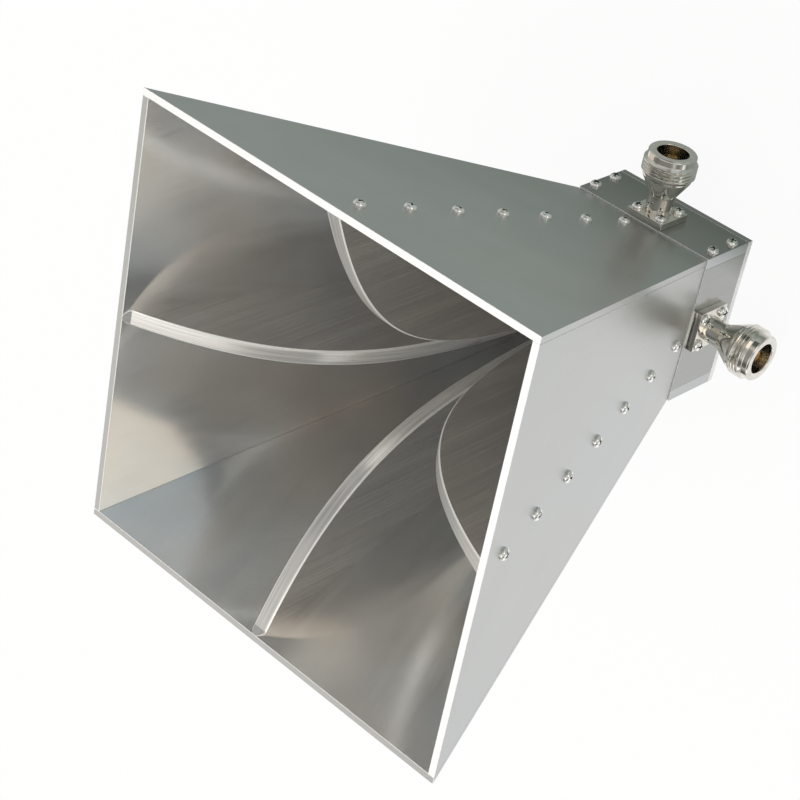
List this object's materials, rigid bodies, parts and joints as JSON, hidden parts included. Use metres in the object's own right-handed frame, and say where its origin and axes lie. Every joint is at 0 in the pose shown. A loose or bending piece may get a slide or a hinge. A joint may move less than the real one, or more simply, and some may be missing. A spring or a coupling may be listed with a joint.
{
  "type": "horn antenna",
  "caption": "Dual-polarised pyramidal horn antenna with four curved inner ridges, a square feed box and two threaded coaxial sockets.",
  "frame": {"origin": "centre of the back plate's outer face", "axes": "+Z out of the horn's mouth along its axis; +Y towards the side with the first socket, which is the picture's upper side; +X towards the side with the second socket"},
  "size_m": [0.134, 0.134, 0.1588],
  "materials": {
    "sheet_aluminium": "satin rolled sheet, brushed",
    "ridge_aluminium": "milled, satin",
    "plate_aluminium": "milled, satin",
    "socket_nickel": "bright nickel plate",
    "gilt_contact": "gold plate",
    "white_insulator": "smooth fluoropolymer",
    "screw_steel": "bright plated steel"
  },
  "bodies": {
    "root": {"back_plate": "plate_aluminium", "back_plate_screws": "screw_steel", "cavity_plate_bottom": "plate_aluminium", "cavity_plate_left": "plate_aluminium", "cavity_plate_right": "plate_aluminium", "cavity_plate_top": "plate_aluminium", "cavity_screws_bottom": "screw_steel", "cavity_screws_top": "screw_steel", "connector_side_body": "socket_nickel", "connector_side_contact": "gilt_contact", "connector_side_insulator": "white_insulator", "connector_side_sleeve": "white_insulator", "connector_top_body": "socket_nickel", "connector_top_contact": "gilt_contact", "connector_top_insulator": "white_insulator", "connector_top_sleeve": "white_insulator", "flange_screws_side": "screw_steel", "flange_screws_top": "screw_steel", "ridge_bottom": "ridge_aluminium", "ridge_left": "ridge_aluminium", "ridge_right": "ridge_aluminium", "ridge_screws_bottom": "screw_steel", "ridge_screws_left": "screw_steel", "ridge_screws_right": "screw_steel", "ridge_screws_top": "screw_steel", "ridge_top": "ridge_aluminium", "wall_bottom": "sheet_aluminium", "wall_left": "sheet_aluminium", "wall_right": "sheet_aluminium", "wall_top": "sheet_aluminium"}
  },
  "joints": []
}
